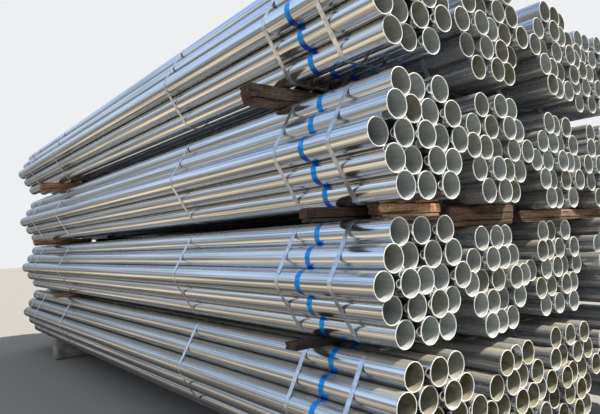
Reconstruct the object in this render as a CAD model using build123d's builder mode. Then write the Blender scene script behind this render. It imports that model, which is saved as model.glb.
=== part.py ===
from build123d import *
import os
from collections import namedtuple
from math import sin, sqrt

# A stack of galvanised steel tubes, in millimetres, Z up. Hexagonal bundles of tubes, each held
# by flat steel straps, lie side by side in layers, and pairs of timbers part the layers.
# X runs along the tubes and +X points out of the ends that face the viewer. Y runs across the
# stack, away from its open long side. The origin is on the floor, under the middle of the tubes.

# One tube: nominal size DN 100, cut to a stock length
tube_diameter = 114.3
tube_wall = 4.0
tube_length = 6000.0

# One bundle: a hexagon of tubes, which the load above has pressed a little wider than high
hexagon_side = 3  # tubes along each side
contact_gap = 0.4  # left between tubes that lie in each other's valleys
row_gap = 4.0  # left between tubes that lie side by side

# Straps round a bundle, at these distances from each of its two ends
strap_width = 25.0
strap_thickness = 1.0
strap_clearance = 0.3  # left between a strap and the tubes
strap_from_end = (240.0, 600.0, 1660.0)

# The stack
layer_count = 4
column_count = 4
column_gap = 21.0  # left between bundles side by side

# Beams under the bundles, in pairs, for one column or for several side by side. A beam lies just
# past a line of straps, seen from the shown end: the straps count from 1, and 0 is the ends of the
# tubes. Each place is that number and the gap to the line. A group's first pair is on the floor.
# At a side of the stack a pair overhangs the outermost tubes, or stops short where that is negative.
Pair = namedtuple("Pair", "width height shown_place hidden_place overhang")
Group = namedtuple("Group", "name first_column pairs")
bearers = Pair(180.0, 200.0, (2, 240.0), (4, 570.0), -105.0)
sleepers = Pair(160.0, 140.0, (2, 240.0), (4, 570.0), -105.0)
open_side_timbers = (
    Pair(80.0, 37.0, (1, 216.0), (4, 103.0), 0.0),
    Pair(60.0, 58.0, (1, 18.0), (4, 650.0), 60.0),
    Pair(95.0, 90.0, (2, 45.0), (4, 290.0), 60.0),
)
second_column_timbers = (
    Pair(80.0, 43.0, (1, 80.0), (4, 100.0), 60.0),
    Pair(95.0, 100.0, (0, 26.0), (4, 600.0), 60.0),
    Pair(95.0, 56.0, (2, 25.0), (4, 270.0), 60.0),
)
shared_timbers = (
    Pair(80.0, 51.0, (1, 80.0), (4, 100.0), 60.0),
    Pair(95.0, 62.0, (0, 10.0), (4, 600.0), 60.0),
    Pair(95.0, 80.0, (2, 25.0), (4, 270.0), 60.0),
)
groups = (
    Group("column1", 0, (bearers, *open_side_timbers)),
    Group("column2", 1, (sleepers, *second_column_timbers)),
    Group("other_columns", 2, (sleepers, *shared_timbers)),
)
timber_end_gap = 60.0  # between one group's timbers and the next group's, end to end

# A short timber beside the open side's shown one under layer 3, in front of the first straps
short_timber_layer = 2
short_timber_width = 65.0
short_timber_strap_gap = 10.0
short_timber_start = 130.0  # from the bundle's middle, towards the open side

bearer_edge_radius = 15.0
timber_edge_radius = 4.0
seat_gap = 0.3  # left between the tubes and what they lie on, and between floor beams end to end

# How far each bundle was set down out of line along X and Y: a row of the table for each layer,
# the lowest first, and in it a pair for each column, the open side first
bundle_shifts = (
    ((25, 5), (10, -5), (-30, 5), (-40, 0)),
    ((-5, 10), (-55, 5), (-75, 10), (-5, 5)),
    ((50, -5), (10, -5), (-10, 5), (-15, 0)),
    ((30, -10), (20, -15), (30, -10), (-60, -5)),
)

# How far a few tubes slid out of line within a bundle; most moved much less
tube_scatter = 24.0

row_count = 2 * hexagon_side - 1
tube_pitch = tube_diameter + row_gap
row_rise = sqrt((tube_diameter + contact_gap) ** 2 - (tube_pitch / 2) ** 2)
tube_radius = tube_diameter / 2
bore_radius = tube_radius - tube_wall
bundle_width = tube_diameter + (row_count - 1) * tube_pitch
bundle_height = tube_diameter + (row_count - 1) * row_rise
column_pitch = bundle_width + column_gap
stack_width = bundle_width + (column_count - 1) * column_pitch


def bundle_seats():
    """Give the centre of every tube of a bundle, from the middle of the bundle's underside."""
    seats = []
    for row in range(row_count):
        tubes_in_row = row_count - abs(row - (hexagon_side - 1))
        for place in range(tubes_in_row):
            y = (place - (tubes_in_row - 1) / 2) * tube_pitch
            z = tube_radius + row * row_rise
            seats.append((y, z))
    return seats


def corner_seats():
    """Give the centres of a bundle's six corner tubes, which carry its straps."""
    corner_rows = ((0, hexagon_side), (hexagon_side - 1, row_count), (row_count - 1, hexagon_side))
    seats = []
    for row, tubes_in_row in corner_rows:
        for side in (-1, 1):
            y = side * (tubes_in_row - 1) / 2 * tube_pitch
            seats.append((y, tube_radius + row * row_rise))
    return seats


def group_of(column):
    """Give the group of columns that this one shares its beams with."""
    return [group for group in groups if group.first_column <= column][-1]


def pair_under(layer, column):
    """Give the beams under one bundle. Layers past a group's list take its last pair."""
    pairs = group_of(column).pairs
    return pairs[min(layer, len(pairs) - 1)]


def layer_floor(layer, column):
    """Give the height of the underside of one bundle's tubes."""
    beams_below = sum(pair_under(below, column).height for below in range(layer + 1))
    return beams_below + layer * bundle_height + (2 * layer + 1) * seat_gap


def bundle_shift(layer, column):
    return bundle_shifts[layer % len(bundle_shifts)][column % len(bundle_shifts[0])]


def bundle_middle(column):
    """Give a column's place across the stack."""
    return (column - (column_count - 1) / 2) * column_pitch


def tube_slide(layer, column, seat):
    """Give one tube's own slide along X: scattered, but the same each time."""
    return tube_scatter * sin(5.1 * layer + 2.7 * column + 1.9 * seat) ** 3


# The shown end of each tube, so that the stack's middle comes out at X = 0
end_offsets = {}
for layer in range(layer_count):
    for column in range(column_count):
        for seat in range(len(bundle_seats())):
            slide = bundle_shift(layer, column)[0] + tube_slide(layer, column, seat)
            end_offsets[layer, column, seat] = slide
middle_offset = (min(end_offsets.values()) + max(end_offsets.values())) / 2
shown_end = tube_length / 2 - middle_offset
hidden_end = shown_end - tube_length


def bundle_lines(layer, column):
    """Give where a bundle's shown end and its straps are along X, in that order."""
    slip = bundle_shift(layer, column)[0]
    shown_half = [shown_end + slip - distance for distance in (tube_scatter, *strap_from_end)]
    hidden_half = [hidden_end + slip + distance for distance in reversed(strap_from_end)]
    return shown_half + hidden_half


def bundles_touched(layer, columns):
    """Give the bundles that lie on the beams under this layer, and those just below the beams."""
    return [(held, column) for held in {layer, max(layer - 1, 0)} for column in columns]


def beam_middles(layer, columns):
    """Give where the two beams that carry these bundles are along X, clear of their straps."""
    pair = pair_under(layer, columns[0])
    middles = []
    for line, gap in (pair.shown_place, pair.hidden_place):
        line_x = min(bundle_lines(*bundle)[line] for bundle in bundles_touched(layer, columns))
        half_strap = strap_width / 2 if line > 0 else 0
        middles.append(line_x - half_strap - gap - pair.width / 2)
    return middles


def facing_x(x, y=0, z=0):
    """Give a plane across the tubes, with its own x along Y and its own y along Z."""
    return Plane(origin=(x, y, z), x_dir=(0, 1, 0), z_dir=(1, 0, 0))


def strap_outline(radius):
    """Give the taut outline round a bundle, for corner tubes of this radius."""
    with BuildSketch(Plane.XY) as outline:
        with Locations(*corner_seats()):
            Circle(radius)
        make_hull()
    return outline.sketch


def save(part, name):
    part.label = name
    export_step(part, f"parts/{name}.step")


os.makedirs("parts", exist_ok=True)

strap_inside = strap_outline(tube_radius + strap_clearance)
strap_outside = strap_outline(tube_radius + strap_clearance + strap_thickness)

for layer in range(layer_count):
    for column in range(column_count):
        middle_y = bundle_middle(column) + bundle_shift(layer, column)[1]
        floor_z = layer_floor(layer, column)

        # Tubes: plain ends cut square, each open from end to end
        cut_ends = []
        for seat, (y, z) in enumerate(bundle_seats()):
            end_x = shown_end + end_offsets[layer, column, seat]
            cut_ends.append(facing_x(end_x, middle_y + y, floor_z + z))
        with BuildPart() as tubes:
            with BuildSketch(*cut_ends):
                Circle(tube_radius)
                Circle(bore_radius, mode=Mode.SUBTRACT)
            extrude(amount=-tube_length)
        save(tubes.part, f"tubes_layer{layer + 1}_column{column + 1}")

        # Straps: taut flat bands that span the hollows between the outer tubes
        strap_planes = [facing_x(x, middle_y, floor_z) for x in bundle_lines(layer, column)[1:]]
        with BuildPart() as straps:
            with BuildSketch(*strap_planes):
                add(strap_outside)
                add(strap_inside, mode=Mode.SUBTRACT)
            extrude(amount=strap_width / 2, both=True)
        save(straps.part, f"straps_layer{layer + 1}_column{column + 1}")


def beam_span(layer, columns):
    """Give the two ends of the beams under these columns along Y, the open side's first."""
    end_gap = timber_end_gap if layer else seat_gap
    outer_reach = stack_width / 2 + pair_under(layer, columns[0]).overhang
    low_y = bundle_middle(columns[0]) - column_pitch / 2 + end_gap / 2
    high_y = bundle_middle(columns[-1]) + column_pitch / 2 - end_gap / 2
    if columns[0] == 0:
        low_y = -outer_reach
    if columns[-1] == column_count - 1:
        high_y = outer_reach
    return low_y, high_y


def make_beams(layer, column, middles, low_y, high_y, width, edge_radius):
    """Make the beams under one bundle, square in section with worn long edges."""
    height = pair_under(layer, column).height
    floor_z = layer_floor(layer, column) - seat_gap - height
    with BuildPart() as beams:
        with Locations(*[(x, low_y, floor_z) for x in middles]):
            Box(width, high_y - low_y, height, align=(Align.CENTER, Align.MIN, Align.MIN))
        fillet(beams.edges().filter_by(Axis.Y), edge_radius)
    return beams.part


def beam_pair(layer, columns, edge_radius):
    """Make the two beams that carry these bundles."""
    low_y, high_y = beam_span(layer, columns)
    width = pair_under(layer, columns[0]).width
    middles = beam_middles(layer, columns)
    return make_beams(layer, columns[0], middles, low_y, high_y, width, edge_radius)


all_columns = list(range(column_count))

# Bearers: cast concrete, under the open side's lowest bundle
save(beam_pair(0, all_columns[:1], bearer_edge_radius), "bearers_column1")

# Sleepers: heavy timbers under the other lowest bundles, end to end with the bearers
save(beam_pair(0, all_columns[1:], timber_edge_radius), "sleepers_other_columns")

# Timbers: sawn softwood
for group in groups:
    group_columns = [column for column in all_columns if group_of(column) is group]
    for layer in range(1, layer_count):
        timbers = beam_pair(layer, group_columns, timber_edge_radius)
        save(timbers, f"timbers_under_layer{layer + 1}_{group.name}")

# The short timber
first_straps = [bundle_lines(*bundle)[1] for bundle in bundles_touched(short_timber_layer, [0])]
short_timber_x = max(first_straps) + (strap_width + short_timber_width) / 2 + short_timber_strap_gap
short_timber_low = bundle_middle(0) - short_timber_start
short_timber_high = beam_span(short_timber_layer, [0])[1]
short_timber = make_beams(short_timber_layer, 0, [short_timber_x], short_timber_low, short_timber_high,
                          short_timber_width, timber_edge_radius)
save(short_timber, f"short_timber_under_layer{short_timber_layer + 1}")
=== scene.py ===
import math
import random

import bmesh
import bpy
import numpy as np
from mathutils import Matrix, Vector, noise


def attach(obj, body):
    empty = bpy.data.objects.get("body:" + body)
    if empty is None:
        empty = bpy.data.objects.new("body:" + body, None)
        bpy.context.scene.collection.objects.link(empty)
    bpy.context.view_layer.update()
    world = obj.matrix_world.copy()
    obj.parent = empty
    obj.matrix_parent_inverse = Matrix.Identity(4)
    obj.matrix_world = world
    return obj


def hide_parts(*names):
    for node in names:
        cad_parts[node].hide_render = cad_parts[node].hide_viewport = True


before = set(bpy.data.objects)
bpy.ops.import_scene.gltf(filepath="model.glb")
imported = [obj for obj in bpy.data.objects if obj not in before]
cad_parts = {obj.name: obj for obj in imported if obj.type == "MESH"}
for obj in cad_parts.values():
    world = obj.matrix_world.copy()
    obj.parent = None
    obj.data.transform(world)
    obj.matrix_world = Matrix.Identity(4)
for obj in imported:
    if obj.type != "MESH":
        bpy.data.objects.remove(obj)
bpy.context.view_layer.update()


# Galvanised steel tubes, DN 100, 19 to a hexagonal bundle. Each was welded, sawn square at its
# ends, drawn through molten zinc and wiped to a smooth bright skin. A brushed ring of blue paint
# marks each tube near its shown end, and dust lies on what faces up.
MM = 0.001
TUBE_SEGMENTS = 48
END_BEVEL = 0.9 * MM
END_WEAR = 0.1 * END_BEVEL
END_BAND = 6 * MM
WELD_DISTANCE = 0.001 * MM
PAINT_RING_WIDTH = 35 * MM
PAINT_RING_FROM_END = {1: 425 * MM, 2: 443 * MM, 3: 410 * MM, 4: 420 * MM}
PAINT_RING_SPREAD = 3 * MM

# How far apart the tubes' own patterns are taken from the noise, so that no two tubes look alike
SEED_REACH = 40.0

# Share of the zinc's shine that is hidden by dust, by paint and by the dull skin of the tubes
# behind the open side, and how much rougher a hidden skin is
DUST_HIDES = 0.8
PAINT_HIDES = 0.35
DULL_SKIN_HIDES = 0.22
HIDDEN_ROUGHNESS = 0.4

# Paint was spilt into four bores: each splash's centre in the stack's frame and radius, in mm
PAINT_SPLASHES = (
    ((3050, -862, 505), 30),
    ((3006, -262, 612), 25),
    ((3022, -309, 538), 15),
    ((2970, 134, 452), 27),
)


def linear(hex_colour):
    """Turn an sRGB hex colour into the linear RGBA that shaders take."""
    channels = [int(hex_colour[i:i + 2], 16) / 255 for i in (1, 3, 5)]
    return tuple(c / 12.92 if c <= 0.04045 else ((c + 0.055) / 1.055) ** 2.4 for c in channels) + (1.0,)


def add_node(tree, kind, inputs=(), stops=(), **settings):
    """Add a node. Its inputs, in order or by name, are numbers, hex colours, nodes or outputs."""
    node = tree.nodes.new(kind)
    for name, value in settings.items():
        setattr(node, name, value)
    for index, (position, colour) in enumerate(stops):
        elements = node.color_ramp.elements
        element = elements[index] if index < len(elements) else elements.new(1.0)
        element.position = position
        element.color = linear(colour)
    sockets = [socket for socket in node.inputs if socket.enabled]
    if isinstance(inputs, dict):
        names = [socket.name for socket in sockets]
        pairs = [(sockets[names.index(name)], value) for name, value in inputs.items()]
    else:
        pairs = zip(sockets, inputs)
    for socket, value in pairs:
        if isinstance(value, bpy.types.Node):
            value = next(output for output in value.outputs if output.enabled)
        if isinstance(value, bpy.types.NodeSocket):
            tree.links.new(value, socket)
        else:
            socket.default_value = linear(value) if isinstance(value, str) else value
    return node


def start_material(name):
    """Start an empty material and give it with its node tree."""
    material = bpy.data.materials.new(name)
    material.use_nodes = True
    material.node_tree.nodes.clear()
    return material, material.node_tree


def pattern_scale(*sizes_mm):
    """Give the mapping scale that makes a pattern's features this big along X, Y and Z."""
    return tuple(1 / (size * MM) for size in sizes_mm)


def start_tube_material(name):
    """Start a tube's material. Gives it, its nodes, the place on the tube and the tube's own seed."""
    material, tree = start_material(name)
    place = add_node(tree, "ShaderNodeTexCoord").outputs["Object"]
    tube_seed = add_node(tree, "ShaderNodeAttribute", attribute_name="tube_seed").outputs["Fac"]
    seed = add_node(tree, "ShaderNodeMath", (tube_seed, SEED_REACH), operation="MULTIPLY")
    return material, tree, place, seed


def splash_mask(tree, place, ragged):
    """Give 1 where paint was spilt: within a ragged distance of one of the splashes."""
    mask = 0.0
    for centre, radius in PAINT_SPLASHES:
        centre_m = tuple(c * MM for c in centre)
        away = add_node(tree, "ShaderNodeVectorMath", (place, centre_m), operation="DISTANCE")
        edge = add_node(tree, "ShaderNodeMath", (away.outputs["Value"], ragged), operation="ADD")
        inside = add_node(tree, "ShaderNodeMath", (edge, radius * MM), operation="LESS_THAN")
        mask = add_node(tree, "ShaderNodeMath", (mask, inside), operation="MAXIMUM")
    return mask


def hot_dip_zinc():
    """Hot-dip zinc, wiped: mirror-like, with fine lengthwise streaks, and matt where dust lies."""
    material, tree, place, seed = start_tube_material("hot_dip_zinc")

    # Wiping marks run the length of the tube. The real ones are about 1 mm wide, too fine to show, so
    # they are drawn 6 mm wide
    wipe_place = add_node(tree, "ShaderNodeMapping", {"Vector": place, "Scale": pattern_scale(1200, 6, 6)})
    wipe = add_node(tree, "ShaderNodeTexNoise",
                    {"Vector": wipe_place, "W": seed, "Scale": 1.0, "Detail": 5.0},
                    noise_dimensions="4D")
    wiped = add_node(tree, "ShaderNodeMapRange", {"Value": wipe, "From Min": 0.34, "From Max": 0.58})
    bright = add_node(tree, "ShaderNodeMix", (wiped, "#9DA1A3", "#F4F6F6"), data_type="RGBA")

    # Dust settles on what faces up, in clouds 260 mm long and 40 mm wide: a pale film where it is
    # thin, tan where thick
    cloud_place = add_node(tree, "ShaderNodeMapping", {"Vector": place, "Scale": pattern_scale(260, 40, 40)})
    cloud = add_node(tree, "ShaderNodeTexNoise",
                     {"Vector": cloud_place, "W": seed, "Scale": 1.0, "Detail": 7.0, "Roughness": 0.62},
                     noise_dimensions="4D")
    normal = add_node(tree, "ShaderNodeNewGeometry").outputs["Normal"]
    upward = add_node(tree, "ShaderNodeSeparateXYZ", (normal,)).outputs["Z"]
    facing_up = add_node(tree, "ShaderNodeMapRange", {"Value": upward, "From Min": 0.45, "From Max": 0.95})
    patchy = add_node(tree, "ShaderNodeMapRange",
                      {"Value": cloud, "From Min": 0.35, "From Max": 0.62, "To Min": 0.35, "To Max": 1.0})
    dusty = add_node(tree, "ShaderNodeAttribute", attribute_name="dust").outputs["Fac"]
    settled = add_node(tree, "ShaderNodeMath", (facing_up, patchy), operation="MULTIPLY")
    settled = add_node(tree, "ShaderNodeMath", (settled, dusty), operation="MULTIPLY")
    thick_dust = add_node(tree, "ShaderNodeMapRange", {"Value": dusty, "From Min": 0.6, "From Max": 0.7})
    dust = add_node(tree, "ShaderNodeMix", (thick_dust, "#CDD3DE", "#A2997F"), data_type="RGBA")

    # Painted shade: the zinc is drawn a flat grey towards the hidden ends, most in the lowest layer, and on
    # the tubes behind the open side
    painted_shade = add_node(tree, "ShaderNodeAttribute", attribute_name="painted_shade").outputs["Fac"]
    shade_greyed = add_node(tree, "ShaderNodeMix", (painted_shade, bright, "#70767F"), data_type="RGBA")
    skin = add_node(tree, "ShaderNodeMix", (settled, shade_greyed, dust), data_type="RGBA")

    # The paint ring's edges are brushed, so they wander by a few millimetres every 12 to 30 mm.
    # The paint is thicker and darker in places, and painted shade draws it darkest on the underside
    edge_place = add_node(tree, "ShaderNodeMapping", {"Vector": place, "Scale": pattern_scale(30, 12, 12)})
    edge_noise = add_node(tree, "ShaderNodeTexNoise",
                          {"Vector": edge_place, "W": seed, "Scale": 1.0, "Detail": 3.0},
                          noise_dimensions="4D")
    wander = add_node(tree, "ShaderNodeMapRange", {"Value": edge_noise, "To Min": -8 * MM, "To Max": 8 * MM})
    from_ring = add_node(tree, "ShaderNodeAttribute", attribute_name="from_ring").outputs["Fac"]
    from_ring = add_node(tree, "ShaderNodeMath", (from_ring, wander), operation="ADD")
    from_ring = add_node(tree, "ShaderNodeMath", (from_ring,), operation="ABSOLUTE")
    ring = add_node(tree, "ShaderNodeMath", (from_ring, PAINT_RING_WIDTH / 2), operation="LESS_THAN")
    thick = add_node(tree, "ShaderNodeMapRange", {"Value": edge_noise, "From Min": 0.35, "From Max": 0.65})
    paint = add_node(tree, "ShaderNodeMix", (thick, "#1FAAF6", "#0A80DC"), data_type="RGBA")
    underside_shade = add_node(tree, "ShaderNodeMapRange", {"Value": upward, "From Min": -0.35, "From Max": -0.80})
    paint = add_node(tree, "ShaderNodeMix", (underside_shade, paint, "#0A3FB0"), data_type="RGBA")
    colour = add_node(tree, "ShaderNodeMix", (ring, skin, paint), data_type="RGBA")

    # The paint is a thin clear blue over the zinc, so it still mirrors, and dust doesn't. Handling
    # has left scuffs 60 mm long and 6 mm wide
    dusted = add_node(tree, "ShaderNodeMath", (settled, DUST_HIDES), operation="MULTIPLY")
    painted = add_node(tree, "ShaderNodeMath", (ring, PAINT_HIDES), operation="MULTIPLY")
    covered = add_node(tree, "ShaderNodeMath", (painted, dusted), operation="MAXIMUM")
    dull = add_node(tree, "ShaderNodeAttribute", attribute_name="dull").outputs["Fac"]
    covered = add_node(tree, "ShaderNodeMath", (dull, DULL_SKIN_HIDES, covered), operation="MULTIPLY_ADD")
    metallic = add_node(tree, "ShaderNodeMath", (1.0, covered), operation="SUBTRACT", use_clamp=True)
    scuff_place = add_node(tree, "ShaderNodeMapping", {"Vector": place, "Scale": pattern_scale(60, 6, 6)})
    scuff = add_node(tree, "ShaderNodeTexNoise",
                     {"Vector": scuff_place, "W": seed, "Scale": 1.0, "Detail": 4.0},
                     noise_dimensions="4D")
    polish = add_node(tree, "ShaderNodeMapRange", {"Value": scuff, "To Min": 0.10, "To Max": 0.24})
    roughness = add_node(tree, "ShaderNodeMath", (covered, HIDDEN_ROUGHNESS, polish),
                         operation="MULTIPLY_ADD")
    relief = add_node(tree, "ShaderNodeBump", {"Height": wipe, "Distance": 0.4 * MM})
    shader = add_node(tree, "ShaderNodeBsdfPrincipled",
                      {"Base Color": colour, "Metallic": metallic, "Roughness": roughness, "Normal": relief})
    add_node(tree, "ShaderNodeOutputMaterial", (shader,))
    return material


def unwiped_zinc_bore():
    """The zinc inside a tube is not wiped: an even satin grey with runs, some stained olive."""
    material, tree, place, seed = start_tube_material("unwiped_zinc_bore")

    # Runs of zinc 8 mm wide lie along the bore, and stains 45 to 70 mm across
    run_place = add_node(tree, "ShaderNodeMapping", {"Vector": place, "Scale": pattern_scale(90, 8, 8)})
    runs = add_node(tree, "ShaderNodeTexNoise",
                    {"Vector": run_place, "W": seed, "Scale": 1.0, "Detail": 5.0},
                    noise_dimensions="4D")
    stain_place = add_node(tree, "ShaderNodeMapping", {"Vector": place, "Scale": pattern_scale(70, 45, 45)})
    stain = add_node(tree, "ShaderNodeTexNoise",
                     {"Vector": stain_place, "W": seed, "Scale": 1.0, "Detail": 4.0},
                     noise_dimensions="4D")
    tint = add_node(tree, "ShaderNodeAttribute", attribute_name="bore_tint").outputs["Fac"]
    patchy = add_node(tree, "ShaderNodeMapRange",
                      {"Value": stain, "From Min": 0.38, "From Max": 0.56, "To Min": 0.35, "To Max": 1.0})
    olive_share = add_node(tree, "ShaderNodeMath", (tint, patchy), operation="MULTIPLY")
    zinc = add_node(tree, "ShaderNodeMix", (olive_share, "#A2A9A8", "#6E6640"), data_type="RGBA")
    run_share = add_node(tree, "ShaderNodeMapRange",
                         {"Value": runs, "From Min": 0.40, "From Max": 0.65, "To Max": 0.3})
    marked = add_node(tree, "ShaderNodeMix", (run_share, zinc, "#737872"), data_type="RGBA")

    # Dust lies along the bottom of the bore, and its pale colour is also a painted highlight where the sun
    # lights the bottom
    normal = add_node(tree, "ShaderNodeNewGeometry").outputs["Normal"]
    upward = add_node(tree, "ShaderNodeSeparateXYZ", (normal,)).outputs["Z"]
    settled = add_node(tree, "ShaderNodeMapRange",
                       {"Value": upward, "From Min": 0.25, "From Max": 0.85, "To Max": 0.65})
    dust = add_node(tree, "ShaderNodeMix", (tint, "#E9EDEC", "#B2AC93"), data_type="RGBA")
    marked = add_node(tree, "ShaderNodeMix", (settled, marked, dust), data_type="RGBA")

    # Painted shade: the top of a stained bore is drawn darker and browner
    facing_down = add_node(tree, "ShaderNodeMapRange", {"Value": upward, "From Min": 0.1, "From Max": -0.7})
    top_shade = add_node(tree, "ShaderNodeMath", (facing_down, olive_share), operation="MULTIPLY")
    top_shade = add_node(tree, "ShaderNodeMath", (top_shade, 0.7), operation="MULTIPLY")
    marked = add_node(tree, "ShaderNodeMix", (top_shade, marked, "#4C3F20"), data_type="RGBA")

    # Spilt paint has a ragged edge and has dried thin, pale blue and white
    wander = add_node(tree, "ShaderNodeMapRange", {"Value": stain, "To Min": -14 * MM, "To Max": 14 * MM})
    splash = splash_mask(tree, place, wander)
    thin = add_node(tree, "ShaderNodeMapRange", {"Value": runs, "From Min": 0.40, "From Max": 0.60})
    paint = add_node(tree, "ShaderNodeMix", (thin, "#86BEDC", "#E6EEF0"), data_type="RGBA")
    colour = add_node(tree, "ShaderNodeMix", (splash, marked, paint), data_type="RGBA")
    relief = add_node(tree, "ShaderNodeBump", {"Height": runs, "Distance": 0.4 * MM})
    shader = add_node(tree, "ShaderNodeBsdfPrincipled",
                      {"Base Color": colour, "Metallic": 0.15, "Roughness": 0.5, "Normal": relief})
    add_node(tree, "ShaderNodeOutputMaterial", (shader,))
    return material


def sawn_zinc_edge():
    """A cut end, sawn and then dipped: a pale, matt ring that catches the light."""
    material, tree, place, seed = start_tube_material("sawn_zinc_edge")

    # Saw marks are under 1 mm apart, too fine to show, so the grain is drawn 5 mm wide
    grain_place = add_node(tree, "ShaderNodeMapping", {"Vector": place, "Scale": pattern_scale(5, 5, 5)})
    grain = add_node(tree, "ShaderNodeTexNoise",
                     {"Vector": grain_place, "W": seed, "Scale": 1.0, "Detail": 3.0},
                     noise_dimensions="4D")
    shade = add_node(tree, "ShaderNodeMapRange", {"Value": grain, "From Min": 0.35, "From Max": 0.60})
    colour = add_node(tree, "ShaderNodeMix", (shade, "#E2E2DC", "#F8F8F4"), data_type="RGBA")
    relief = add_node(tree, "ShaderNodeBump", {"Height": grain, "Distance": 0.2 * MM})
    shader = add_node(tree, "ShaderNodeBsdfPrincipled",
                      {"Base Color": colour, "Metallic": 0.0, "Roughness": 0.5, "Normal": relief})
    add_node(tree, "ShaderNodeOutputMaterial", (shader,))
    return material


def separate_solids(mesh):
    """Give the points of each separate solid of a mesh, as arrays."""
    welded = bmesh.new()
    welded.from_mesh(mesh)
    bmesh.ops.remove_doubles(welded, verts=welded.verts, dist=WELD_DISTANCE)
    found = set()
    solids = []
    for first in welded.verts:
        if first in found:
            continue
        found.add(first)
        reached = [first]
        points = []
        while reached:
            vert = reached.pop()
            points.append(vert.co.copy())
            for edge in vert.link_edges:
                other = edge.other_vert(vert)
                if other not in found:
                    found.add(other)
                    reached.append(other)
        solids.append(np.array(points))
    welded.free()
    return solids


def tube_profile(low_x, high_x, outer, bore):
    """Give a tube's section as (x, radius, material) points, each with the next face's material."""
    wiped, unwiped, sawn = range(3)
    return [
        (low_x + END_BAND, outer, wiped), (high_x - END_BAND, outer, wiped),
        (high_x - END_BEVEL, outer - END_WEAR, sawn), (high_x, outer - END_BEVEL, sawn),
        (high_x, bore + END_BEVEL, sawn), (high_x - END_BEVEL, bore + END_WEAR, unwiped),
        (high_x - END_BAND, bore, unwiped), (low_x + END_BAND, bore, unwiped),
        (low_x + END_BEVEL, bore + END_WEAR, sawn), (low_x, bore + END_BEVEL, sawn),
        (low_x, outer - END_BEVEL, sawn), (low_x + END_BEVEL, outer - END_WEAR, wiped),
    ]


def mesh_piece(name, points, faces, materials, face_materials):
    """Make a smooth piece from points and faces, on the stack's one body."""
    mesh = bpy.data.meshes.new(name)
    mesh.from_pydata([tuple(point) for point in points], [], faces)
    for material in materials:
        mesh.materials.append(material)
    mesh.polygons.foreach_set("material_index", face_materials)
    mesh.polygons.foreach_set("use_smooth", [True] * len(faces))
    mesh.update()
    piece = bpy.data.objects.new(name, mesh)
    bpy.context.scene.collection.objects.link(piece)
    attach(piece, "root")
    return piece


# How olive the bores are in each (layer, column) bundle that is stained, and elsewhere
BORE_TINT = {(1, 1): 0.9, (1, 2): 0.95, (1, 3): 0.95, (1, 4): 0.9, (2, 3): 0.3, (4, 2): 0.4, (4, 3): 0.35}
PLAIN_TINT = 0.12
TINT_SPREAD = 0.18

# How much painted shade greys the open side's zinc in each layer, at the (hidden, shown) end, and the zinc
# behind it
PAINTED_SHADE_SHARE = {1: (0.95, 0.10), 2: (0.65, 0.0), 3: (0.6, 0.0), 4: (0.45, 0.0)}
PAINTED_SHADE_BEHIND = 0.5

# How much dust lies on a tube, as a share of a full cover: little on the open side's upper layers
MUCH_DUST = (0.7, 1.0)
LITTLE_DUST = (0.2, 0.6)

tube_materials = [hot_dip_zinc(), unwiped_zinc_bore(), sawn_zinc_edge()]
turn = np.arange(TUBE_SEGMENTS) * 2 * math.pi / TUBE_SEGMENTS
bundle_tubes = {}

for node in sorted(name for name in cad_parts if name.startswith("tubes_layer")):
    layer, column = (int(word[-1]) for word in node.split("_")[1:])
    chooser = random.Random(100 * layer + column)
    solids = separate_solids(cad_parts[node].data)
    solids.sort(key=lambda tube: (round(tube[:, 2].mean(), 2), tube[:, 1].mean()))
    ring_x = np.mean([tube[:, 0].max() for tube in solids]) - PAINT_RING_FROM_END[layer]
    points, faces, face_materials = [], [], []
    marks = {"tube_seed": [], "from_ring": [], "bore_tint": [], "dust": [], "dull": [], "painted_shade": []}
    bundle_tubes[layer, column] = []
    for tube in solids:
        low, high = tube.min(0), tube.max(0)
        middle_y, middle_z = (low[1] + high[1]) / 2, (low[2] + high[2]) / 2
        radii = np.hypot(tube[:, 1] - middle_y, tube[:, 2] - middle_z)
        bundle_tubes[layer, column].append((middle_y, middle_z, radii.max()))
        seed = chooser.random()
        own_ring_x = ring_x + chooser.gauss(0, PAINT_RING_SPREAD)
        tint = chooser.gauss(BORE_TINT.get((layer, column), PLAIN_TINT), TINT_SPREAD)
        tint = min(1.0, max(0.0, tint))
        dust = chooser.uniform(*(MUCH_DUST if layer == 1 or column > 1 else LITTLE_DUST))
        dull = 1.0 if column > 1 else 0.0
        profile = tube_profile(low[0], high[0], radii.max(), radii.min())
        start = len(points)
        for x, radius, _ in profile:
            painted_shade = PAINTED_SHADE_SHARE[layer][0 if x < 0 else 1] if column == 1 else PAINTED_SHADE_BEHIND
            for angle in turn:
                points.append((x, middle_y + radius * math.cos(angle), middle_z + radius * math.sin(angle)))
                for mark, value in zip(marks.values(), (seed, x - own_ring_x, tint, dust, dull, painted_shade)):
                    mark.append(value)
        for place, (_, _, material) in enumerate(profile):
            near = start + place * TUBE_SEGMENTS
            far = start + (place + 1) % len(profile) * TUBE_SEGMENTS
            for step in range(TUBE_SEGMENTS):
                after = (step + 1) % TUBE_SEGMENTS
                faces.append((near + step, far + step, far + after, near + after))
                face_materials.append(material)
    piece = mesh_piece("galvanised_" + node, points, faces, tube_materials, face_materials)
    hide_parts(node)
    for name, values in marks.items():
        piece.data.attributes.new(name, "FLOAT", "POINT").data.foreach_set("value", values)


# Strapping: cold-rolled steel band, 25 mm by 1 mm, drawn tight round each bundle in six places.
# A folded sleeve of thicker steel, crimped by the strapping tool, joins each band's two ends.
SEAL_LENGTH = 34 * MM
SEAL_WIDTH = 29 * MM
SEAL_PROUD = 1.6 * MM
SEAL_CRIMP = 2.2 * MM
SEAL_STEPS = 12
SEAL_CRIMPED_STEPS = (3, 4, 8, 9)
SEAL_ROOT = -0.4 * SEAL_PROUD
STRAP_PROUD = 1.3 * MM

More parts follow.
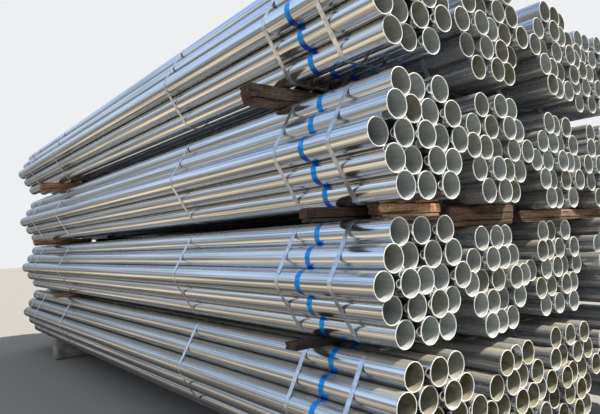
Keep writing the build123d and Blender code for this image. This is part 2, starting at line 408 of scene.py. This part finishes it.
# Seals that show: (layer, column, strap from the shown end) to the side of the bundle's hexagon,
# counted from the open side's lowest tube, and the share of the way along it. Others are on top
SEAL_PLACES = {(3, 1, 3): (0, 0.60), (1, 1, 2): (1, 0.45), (1, 1, 3): (0, 0.90)}
TOP_SIDE = 2
TOP_SHARES = (0.3, 0.7)


def rolled_strap_steel():
    """Cold-rolled strapping: satin and a little blue, with patches that handling dulled."""
    material, tree = start_material("rolled_strap_steel")
    place = add_node(tree, "ShaderNodeTexCoord").outputs["Object"]

    # Dulled patches are 25 mm across. Rolling scratches run along the band, and are drawn 1.5 mm
    # wide, as the real ones are too fine to show
    patch_place = add_node(tree, "ShaderNodeMapping", {"Vector": place, "Scale": pattern_scale(25, 25, 25)})
    patch = add_node(tree, "ShaderNodeTexNoise", {"Vector": patch_place, "Scale": 1.0, "Detail": 4.0})
    scratch_place = add_node(tree, "ShaderNodeMapping",
                             {"Vector": place, "Scale": pattern_scale(1.5, 60, 60)})
    scratch = add_node(tree, "ShaderNodeTexNoise", {"Vector": scratch_place, "Scale": 1.0, "Detail": 4.0})
    dulled = add_node(tree, "ShaderNodeMapRange", {"Value": patch, "From Min": 0.35, "From Max": 0.65})
    colour = add_node(tree, "ShaderNodeMix", (dulled, "#E4E8EE", "#BEC2C9"), data_type="RGBA")
    roughness = add_node(tree, "ShaderNodeMapRange", {"Value": patch, "To Min": 0.20, "To Max": 0.42})
    relief = add_node(tree, "ShaderNodeBump", {"Height": scratch, "Distance": 0.08 * MM})
    shader = add_node(tree, "ShaderNodeBsdfPrincipled",
                      {"Base Color": colour, "Metallic": 0.85, "Roughness": roughness, "Normal": relief})
    add_node(tree, "ShaderNodeOutputMaterial", (shader,))
    return material


def plated_seal_steel():
    """Zinc-plated sleeves, worn in 6 mm spots: whiter and more matt than the strap."""
    material, tree = start_material("plated_seal_steel")
    place = add_node(tree, "ShaderNodeTexCoord").outputs["Object"]
    plating_place = add_node(tree, "ShaderNodeMapping", {"Vector": place, "Scale": pattern_scale(6, 6, 6)})
    plating = add_node(tree, "ShaderNodeTexNoise", {"Vector": plating_place, "Scale": 1.0, "Detail": 3.0})
    worn = add_node(tree, "ShaderNodeMapRange", {"Value": plating, "From Min": 0.40, "From Max": 0.65})
    colour = add_node(tree, "ShaderNodeMix", (worn, "#F6F4F4", "#D3D6DA"), data_type="RGBA")
    relief = add_node(tree, "ShaderNodeBump", {"Height": plating, "Distance": 0.1 * MM})
    shader = add_node(tree, "ShaderNodeBsdfPrincipled",
                      {"Base Color": colour, "Metallic": 0.2, "Roughness": 0.4, "Normal": relief})
    add_node(tree, "ShaderNodeOutputMaterial", (shader,))
    return material


def corner_tubes(tubes):
    """Give a bundle's six corner tubes in order round it, from the open side's lowest."""
    rows = {}
    for tube in tubes:
        rows.setdefault(round(tube[1], 2), []).append(tube)
    longest = max(rows, key=lambda height: len(rows[height]))
    lowest, widest, highest = (sorted(rows[height]) for height in (min(rows), longest, max(rows)))
    return [lowest[0], widest[0], highest[0], highest[-1], widest[-1], lowest[-1]]


def seal_points(corners, side, share, middle_x):
    """Give the points of one sleeve, a rectangle with two crimps nipped in from each edge."""
    start, end = (np.array(corners[corner % len(corners)][:2]) for corner in (side, side + 1))
    along = (end - start) / np.linalg.norm(end - start)
    out = np.array((-along[1], along[0]))
    if out @ (start - np.mean([corner[:2] for corner in corners], axis=0)) < 0:
        out = -out
    foot = start + share * (end - start) + out * (corners[0][2] + STRAP_PROUD)
    points = []
    for step in range(SEAL_STEPS + 1):
        length = (step / SEAL_STEPS - 0.5) * SEAL_LENGTH
        nip = SEAL_CRIMP if step in SEAL_CRIMPED_STEPS else 0.0
        for edge, height in ((-1, SEAL_ROOT), (-1, SEAL_PROUD), (1, SEAL_PROUD), (1, SEAL_ROOT)):
            place = foot + along * length + out * height
            points.append((middle_x + edge * (SEAL_WIDTH / 2 - nip), *place))
    return points


strap_steel = rolled_strap_steel()
seal_steel = plated_seal_steel()
for node in sorted(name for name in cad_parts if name.startswith("straps_layer")):
    layer, column = (int(word[-1]) for word in node.split("_")[1:])
    chooser = random.Random(7 * layer + column)
    strap_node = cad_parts[node]
    strap_node.data.materials.clear()
    strap_node.data.materials.append(strap_steel)
    corners = corner_tubes(bundle_tubes[layer, column])
    bands = sorted((band[:, 0].mean() for band in separate_solids(strap_node.data)), reverse=True)
    points, faces = [], []
    for number, middle_x in enumerate(bands, 1):
        on_top = (TOP_SIDE, chooser.uniform(*TOP_SHARES))
        side, share = SEAL_PLACES.get((layer, column, number), on_top)
        start = len(points)
        points += seal_points(corners, side, share, middle_x)
        for ring in range(SEAL_STEPS):
            near, far = start + 4 * ring, start + 4 * ring + 4
            faces += [(near + a, near + b, far + b, far + a) for a, b in ((0, 1), (1, 2), (2, 3), (3, 0))]
        faces += [(start + 3, start + 2, start + 1, start), (far, far + 1, far + 2, far + 3)]
    seals = mesh_piece(node.replace("straps", "strap_seals"), points, faces, [seal_steel],
                       [0] * len(faces))
    seals.data.polygons.foreach_set("use_smooth", [False] * len(faces))


# Timbers and sleepers: sawn softwood laid across under the tubes. They have lain outdoors for
# years, so they are dark, split along the grain, worn at the edges and ragged at the ends.
# EDGE_WEAR and FACE_WEAR say how many times a beam's own wear its edges and faces have lost.
EDGE_WEAR = 2.2
FACE_WEAR = 0.6
SPLIT_DEPTH = 22 * MM
SPLIT_BELOW = 4 * MM
SPLIT_ABOVE = 2 * MM
THIN_BEAM = 45 * MM
THIN_BEAM_RAGGED = 5 * MM
ON_FACE = 0.0001 * MM
SHARP_ANGLE = math.radians(40)


def weathered_softwood(name, shade, light, deep):
    """Sawn softwood gone grey and brown: soft grain stands back, and painted shade draws the splits dark."""
    material, tree = start_material(name)
    place = add_node(tree, "ShaderNodeTexCoord").outputs["Object"]

    # Growth rings are about 2 mm wide, too fine to show, so the grain is drawn 4 mm wide. Saw marks
    # cross it 7 mm apart, splits are 8 mm wide, and weathered patches are 45 mm wide
    fibre_place = add_node(tree, "ShaderNodeMapping", {"Vector": place, "Scale": pattern_scale(4, 120, 4)})
    fibre = add_node(tree, "ShaderNodeTexNoise", {"Vector": fibre_place, "Scale": 1.0, "Detail": 5.0})
    patch_place = add_node(tree, "ShaderNodeMapping", {"Vector": place, "Scale": pattern_scale(45, 160, 45)})
    patch = add_node(tree, "ShaderNodeTexNoise", {"Vector": patch_place, "Scale": 1.0, "Detail": 4.0})
    saw_place = add_node(tree, "ShaderNodeMapping", {"Vector": place, "Scale": pattern_scale(60, 7, 60)})
    saw = add_node(tree, "ShaderNodeTexNoise", {"Vector": saw_place, "Scale": 1.0, "Detail": 2.0})
    split_place = add_node(tree, "ShaderNodeMapping", {"Vector": place, "Scale": pattern_scale(8, 300, 8)})
    split = add_node(tree, "ShaderNodeTexNoise", {"Vector": split_place, "Scale": 1.0, "Detail": 6.0})

    # Soft grain is darker than hard, and weathering and rot in 9 to 16 mm spots have darkened both
    grain = add_node(tree, "ShaderNodeMapRange", {"Value": fibre, "From Min": 0.35, "From Max": 0.65})
    wood = add_node(tree, "ShaderNodeMix", (grain, shade, light), data_type="RGBA")
    weather = add_node(tree, "ShaderNodeMapRange",
                       {"Value": patch, "From Min": 0.42, "From Max": 0.62, "To Max": 0.75})
    wood = add_node(tree, "ShaderNodeMix", (weather, wood, deep), data_type="RGBA")
    rot_place = add_node(tree, "ShaderNodeMapping", {"Vector": place, "Scale": pattern_scale(9, 16, 9)})
    rot = add_node(tree, "ShaderNodeTexNoise", {"Vector": rot_place, "Scale": 1.0, "Detail": 4.0})
    rotten = add_node(tree, "ShaderNodeMapRange",
                      {"Value": rot, "From Min": 0.54, "From Max": 0.64, "To Max": 0.8})
    wood = add_node(tree, "ShaderNodeMix", (rotten, wood, deep), data_type="RGBA")

    # Saw marks are rubbed pale. Splits are three times as deep as the grain, and painted shade draws them
    # dark
    sawn = add_node(tree, "ShaderNodeMapRange",
                    {"Value": saw, "From Min": 0.45, "From Max": 0.7, "To Max": 0.35})
    wood = add_node(tree, "ShaderNodeMix", (sawn, wood, light), data_type="RGBA")
    crack = add_node(tree, "ShaderNodeMapRange",
                     {"Value": split, "From Min": 0.33, "From Max": 0.39, "To Min": 1.0, "To Max": 0.0})
    colour = add_node(tree, "ShaderNodeMix", (crack, wood, "#120E0C"), data_type="RGBA")
    height = add_node(tree, "ShaderNodeMath", (crack, -3.0, fibre), operation="MULTIPLY_ADD")
    height = add_node(tree, "ShaderNodeMath", (saw, 0.6, height), operation="MULTIPLY_ADD")
    relief = add_node(tree, "ShaderNodeBump", {"Height": height, "Distance": 1.6 * MM})
    shader = add_node(tree, "ShaderNodeBsdfPrincipled",
                      {"Base Color": colour, "Roughness": 0.85, "Normal": relief})
    add_node(tree, "ShaderNodeOutputMaterial", (shader,))
    return material


def box_skin(levels):
    """Give the points and faces of a box's skin, cut at these levels along X, Y and Z."""
    order = {}
    faces = []
    for axis in range(3):
        across, along = (axis + 1) % 3, (axis + 2) % 3
        for side in (0, len(levels[axis]) - 1):
            for a in range(len(levels[across]) - 1):
                for b in range(len(levels[along]) - 1):
                    loop = []
                    for da, db in ((0, 0), (1, 0), (1, 1), (0, 1)):
                        cell = [0, 0, 0]
                        cell[axis], cell[across], cell[along] = side, a + da, b + db
                        loop.append(order.setdefault(tuple(cell), len(order)))
                    faces.append(loop if side else loop[::-1])
    points = [Vector([levels[axis][cell[axis]] for axis in range(3)]) for cell in order]
    return points, faces


def roughness_at(point, seed, *sizes_mm):
    """Give a chance height, between -1 and 1, of bumps that are this big along X, Y and Z."""
    place = [point[axis] / (size * MM) for axis, size in enumerate(sizes_mm)]
    return noise.noise(Vector((place[0] + seed, place[1], place[2])))


def worn_beam(low, high, step, wear, ragged, split, seed):
    """Make a beam's skin: rounded edges, a rough face, ragged ends and a long split in its side.

    Gives its points, its faces and each face's material: 0 along the beam and 1 at its ends.
    """
    levels = []
    for axis in range(3):
        count = max(2, round((high[axis] - low[axis]) / step[axis]))
        levels.append(list(np.linspace(low[axis], high[axis], count + 1)))
    if high[2] - low[2] < THIN_BEAM:
        split, ragged = 0.0, THIN_BEAM_RAGGED
    split_z = low[2] + split * (high[2] - low[2])
    if split:
        levels[2] = sorted(levels[2] + [split_z - SPLIT_BELOW, split_z, split_z + SPLIT_ABOVE])
    points, faces = box_skin(levels)
    end_faces = [all(abs(points[i].y - points[face[0]].y) < ON_FACE for i in face) for face in faces]
    worn = []
    for point in points:
        moved = point.copy()

        # The skin is worn in hollows 220 mm long, with finer ones 60 mm long, and most at the edges
        coarse = roughness_at(point, seed, 50, 220, 50)
        fine = roughness_at(point, seed, 15, 60, 15)
        from_low, from_high = point - low, high - point
        sides = [axis for axis in range(3) if min(from_low[axis], from_high[axis]) < ON_FACE]
        share = EDGE_WEAR if len(sides) > 1 else FACE_WEAR
        depth = wear * share * max(0.0, 0.8 + 0.9 * coarse + 0.5 * fine)

        # Ends fray in tufts 30 mm wide and 12 mm high, and are broken back below the split
        for axis in sides:
            inward = 1.0 if from_low[axis] < ON_FACE else -1.0
            moved[axis] += inward * depth
            if axis == 1:
                fray = noise.noise(Vector((point.x / (30 * MM), seed, point.z / (12 * MM))))
                below_split = 1.0 if split and point.z < split_z else 0.0
                moved[axis] += inward * ragged * max(0.0, 0.35 + fray + below_split)
            if axis == 0 and split and abs(point.z - split_z) < SPLIT_ABOVE / 2:
                opened = 0.7 + noise.noise(Vector((seed, point.y / (150 * MM), 0)))
                moved[axis] += inward * SPLIT_DEPTH * max(0.0, opened)
        worn.append(moved)
    return worn, faces, [int(end) for end in end_faces]


def beam_piece(name, node, materials, slot, seed, **form):
    """Make one piece of all a node's beams.

    The materials are those along a beam, at its ends and, where there is a third, of all of the far
    beam, the one with the lowest X.
    """
    points, faces, face_materials = [], [], []
    solids = sorted(separate_solids(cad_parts[node].data), key=lambda solid: solid[:, 0].min())
    for number, solid in enumerate(solids):
        skin, skin_faces, skin_materials = worn_beam(
            Vector(solid.min(0)), Vector(solid.max(0)), seed=seed + number, **form)
        faces += [[corner + len(points) for corner in face] for face in skin_faces]
        points += skin
        one_wood = number == 0 and len(materials) == 3
        face_materials += [2] * len(skin_faces) if one_wood else skin_materials
    piece = mesh_piece(name, points, faces, materials, face_materials)
    piece.data.set_sharp_from_angle(angle=SHARP_ANGLE)
    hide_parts(node)


dark_wood = weathered_softwood("weathered_softwood_dark", "#332825", "#5A473E", "#1E1816")
grey_wood = weathered_softwood("weathered_softwood_grey", "#524339", "#8A7869", "#32251E")
# Painted light: the short timber under layer 3 is drawn pale tan and cream, as if lit by sun thrown up off
# the tubes below it
painted_light_wood = weathered_softwood("painted_light_softwood_red", "#B08A68", "#E8C8A0", "#8A4E38")
brown_wood = weathered_softwood("weathered_softwood_brown", "#6C5440", "#AC8C69", "#3E2F25")
rotten_wood = weathered_softwood("weathered_softwood_rotten", "#453525", "#7C6145", "#241B13")
# Painted light: the sleepers are drawn a light tan as if sunlit, though they lie in shade
painted_sunlit_wood = weathered_softwood("painted_sunlit_softwood_tan", "#8A6A4A", "#C8A47C", "#5D4634")
fresh_wood = weathered_softwood("weathered_softwood_fresh", "#9A7458", "#C89E78", "#6A4632")
end_grain = weathered_softwood("weathered_end_grain", "#3A2922", "#6E4C3C", "#1F1512")
timber_wood = {
    "timbers_under_layer4_column1": grey_wood,
    "timbers_under_layer3_column2": rotten_wood,
    "timbers_under_layer3_other_columns": brown_wood,
    "short_timber_under_layer3": painted_light_wood,
    "sleepers_other_columns": painted_sunlit_wood,
}
timber_nodes = sorted(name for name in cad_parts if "timber" in name or "sleeper" in name)
for number, node in enumerate(timber_nodes):
    woods = [timber_wood.get(node, dark_wood), end_grain]
    if node.endswith("column1"):
        woods.append(fresh_wood)
    beam_piece("weathered_" + node, node, woods, "weathered_timber", seed=10 * number,
               step=(12 * MM, 20 * MM, 10 * MM), wear=1.6 * MM, ragged=14 * MM, split=0.28)


# Bearers: two concrete beams, cast in a mould and laid on the floor under the open side. Their
# long edges have crumbled, and their faces are stained and pitted.
def cast_concrete():
    """Cast concrete: pale grey and mottled, with pores and grit that make it matt. Painted shade draws the
    pores dark.
    """
    material, tree = start_material("cast_concrete")
    place = add_node(tree, "ShaderNodeTexCoord").outputs["Object"]

    # Stains are 90 mm across, and grit and pores are 5 mm
    stain_place = add_node(tree, "ShaderNodeMapping", {"Vector": place, "Scale": pattern_scale(90, 90, 90)})
    stain = add_node(tree, "ShaderNodeTexNoise", {"Vector": stain_place, "Scale": 1.0, "Detail": 5.0})
    grit_place = add_node(tree, "ShaderNodeMapping", {"Vector": place, "Scale": pattern_scale(5, 5, 5)})
    grit = add_node(tree, "ShaderNodeTexNoise", {"Vector": grit_place, "Scale": 1.0, "Detail": 6.0})
    stained = add_node(tree, "ShaderNodeMapRange", {"Value": stain, "From Min": 0.35, "From Max": 0.65})
    face = add_node(tree, "ShaderNodeMix", (stained, "#7B7872", "#AAA8A1"), data_type="RGBA")
    # Painted shade: the pores are drawn dark
    pore_shade = add_node(tree, "ShaderNodeMapRange",
                     {"Value": grit, "From Min": 0.30, "From Max": 0.42, "To Min": 0.7, "To Max": 0.0})
    colour = add_node(tree, "ShaderNodeMix", (pore_shade, face, "#504D48"), data_type="RGBA")
    height = add_node(tree, "ShaderNodeMath", (stain, grit), operation="ADD")
    relief = add_node(tree, "ShaderNodeBump", {"Height": height, "Distance": 2.5 * MM})
    shader = add_node(tree, "ShaderNodeBsdfPrincipled",
                      {"Base Color": colour, "Roughness": 0.9, "Normal": relief})
    add_node(tree, "ShaderNodeOutputMaterial", (shader,))
    return material


beam_piece("cast_bearers_column1", "bearers_column1", [cast_concrete()], "concrete", seed=500,
           step=(20 * MM, 20 * MM, 20 * MM), wear=5 * MM, ragged=4 * MM, split=0)


# The room: a pale floor under a plain sky. A high sun stands past the shown ends on the far side.
# What shines in the zinc is as outdoors: blue above, a thin dull line at eye level, then the sunlit
# floor, and the stack's own shadow on it nearest.
FLOOR_HALF = 40.0
FLOOR_SHINE = 1.3
SKY_SHINE = 1.2
SKY_LIGHT = 0.75
SUN_STRENGTH = 6.0
SUN_WIDTH = math.radians(1)
SUN_TRAVEL = Vector((-1.0, -0.6, -1.8))

# Where the mirrored floor changes colour: an axis, and from where to where along it, in metres
FLOOR_CHANGES = {
    "open": ("Y", -2.2, -8.0),
    "beyond": ("Y", -3.6, -4.6),
    "distant": ("X", -6.0, -12.0),
    "hidden_end": ("X", 0.5, -4.0),
    "shaded": ("Y", -2.3, -2.05),
    "beneath": ("Y", -2.0, -1.2),
}


def pale_floor():
    """A plain pale floor. In the zinc it looks sunlit, dull far off and in the stack's shadow."""
    material, tree = start_material("pale_floor")
    position = add_node(tree, "ShaderNodeNewGeometry").outputs["Position"]
    position = add_node(tree, "ShaderNodeSeparateXYZ", (position,)).outputs
    share = {}
    for change, (axis, start, end) in FLOOR_CHANGES.items():
        share[change] = add_node(tree, "ShaderNodeMapRange",
                                 {"Value": position[axis], "From Min": start, "From Max": end})

    # By the shown ends all the floor is sunlit, more so further out. Towards the hidden ends only a
    # strip of it is, with dull floor beyond it
    sunlit = add_node(tree, "ShaderNodeValToRGB", (share["open"],), stops=(
        (0.0, "#9C9184"), (0.22, "#D3C3AE"), (0.5, "#F4E0C4"), (1.0, "#FFECD2")))
    strip = add_node(tree, "ShaderNodeMix", (share["beyond"], "#FFE8C9", "#8D8B83"), data_type="RGBA")
    strip = add_node(tree, "ShaderNodeMix", (share["distant"], strip, "#8D8B83"), data_type="RGBA")
    colour = add_node(tree, "ShaderNodeMix", (share["hidden_end"], sunlit, strip), data_type="RGBA")

    # The stack's shadow lies over that, darkest beneath the stack
    shadow = add_node(tree, "ShaderNodeMix", (share["beneath"], "#8B867F", "#454548"), data_type="RGBA")
    colour = add_node(tree, "ShaderNodeMix", (share["shaded"], colour, shadow), data_type="RGBA")
    mirrored = add_node(tree, "ShaderNodeEmission", (colour, FLOOR_SHINE))
    plain = add_node(tree, "ShaderNodeBsdfDiffuse", ("#9C9A97",))
    in_metal = add_node(tree, "ShaderNodeLightPath").outputs["Is Glossy Ray"]
    chosen = add_node(tree, "ShaderNodeMixShader", (in_metal, plain, mirrored))
    add_node(tree, "ShaderNodeOutputMaterial", (chosen,))
    return material


floor_corners = [(x * FLOOR_HALF, y * FLOOR_HALF, 0) for x, y in ((-1, -1), (1, -1), (1, 1), (-1, 1))]
floor_mesh = bpy.data.meshes.new("floor")
floor_mesh.from_pydata(floor_corners, [], [(0, 1, 2, 3)])
floor_mesh.materials.append(pale_floor())
floor = bpy.data.objects.new("floor", floor_mesh)
bpy.context.scene.collection.objects.link(floor)

world = bpy.data.worlds.new("plain_sky")
bpy.context.scene.world = world
world.use_nodes = True
sky = world.node_tree
sky.nodes.clear()

# The dull line and the haze over it lie lower past the hidden ends
direction = add_node(sky, "ShaderNodeTexCoord").outputs["Generated"]
direction = add_node(sky, "ShaderNodeSeparateXYZ", (direction,)).outputs
lowered = add_node(sky, "ShaderNodeMapRange",
                   {"Value": direction["X"], "From Min": -0.6, "From Max": -0.95, "To Max": 0.05})
elevation = add_node(sky, "ShaderNodeMath", (direction["Z"], lowered), operation="ADD")
elevation = add_node(sky, "ShaderNodeMapRange", {"Value": elevation, "From Min": -0.1, "From Max": 0.9})
outdoors = add_node(sky, "ShaderNodeValToRGB", (elevation,), stops=(
    (0.0, "#6E6F66"), (0.11, "#5E615F"), (0.14, "#8E9398"), (0.34, "#ABB4C0"),
    (0.42, "#CFDDF0"), (0.58, "#B7CFF3"), (1.0, "#98B8E8")))

# The sky is one plain pale colour where it is seen, and another in the light that it gives
paths = add_node(sky, "ShaderNodeLightPath").outputs
seen = add_node(sky, "ShaderNodeBackground", ("#EDEFF1", 1.0))
lit = add_node(sky, "ShaderNodeBackground", ("#DFE6F0", SKY_LIGHT))
shine = add_node(sky, "ShaderNodeBackground", (outdoors, SKY_SHINE))
plain_sky = add_node(sky, "ShaderNodeMixShader", (paths["Is Camera Ray"], lit, seen))
whole_sky = add_node(sky, "ShaderNodeMixShader", (paths["Is Glossy Ray"], plain_sky, shine))
add_node(sky, "ShaderNodeOutputWorld", (whole_sky,))

sun = bpy.data.lights.new("sun", "SUN")
sun.energy = SUN_STRENGTH
sun.angle = SUN_WIDTH
sun.color = linear("#FFF7EC")[:3]
sun_object = bpy.data.objects.new("sun", sun)
sun_object.rotation_euler = SUN_TRAVEL.to_track_quat("-Z", "Y").to_euler()
bpy.context.scene.collection.objects.link(sun_object)


# The camera stands where the photograph was taken from: low, beside the shown ends. Its place,
# angles and lens were fitted to the tube ends in the photograph.
IMAGE_WIDTH = 600
CAMERA_PLACE = Vector((4344.5, -2581.9, 1201.1)) * MM
CAMERA_YAW, CAMERA_PITCH, CAMERA_ROLL = (math.radians(angle) for angle in (51.4, 3.095, -3.256))
CAMERA_FOCAL_PIXELS = 528.39

ahead = Vector((-math.sin(CAMERA_YAW) * math.cos(CAMERA_PITCH),
                math.cos(CAMERA_YAW) * math.cos(CAMERA_PITCH),
                math.sin(CAMERA_PITCH)))
level_right = ahead.cross(Vector((0, 0, 1))).normalized()
level_up = level_right.cross(ahead)
right = math.cos(CAMERA_ROLL) * level_right + math.sin(CAMERA_ROLL) * level_up
up = math.cos(CAMERA_ROLL) * level_up - math.sin(CAMERA_ROLL) * level_right
camera_data = bpy.data.cameras.new("camera")
camera_data.sensor_width = 36.0
camera_data.lens = CAMERA_FOCAL_PIXELS / IMAGE_WIDTH * camera_data.sensor_width
camera_data.clip_start = 0.05
camera_data.clip_end = 200.0
camera = bpy.data.objects.new("camera", camera_data)
camera.matrix_world = Matrix((right, up, -ahead)).transposed().to_4x4()
camera.location = CAMERA_PLACE
bpy.context.scene.collection.objects.link(camera)
bpy.context.scene.camera = camera
bpy.context.scene.view_settings.view_transform = "Standard"
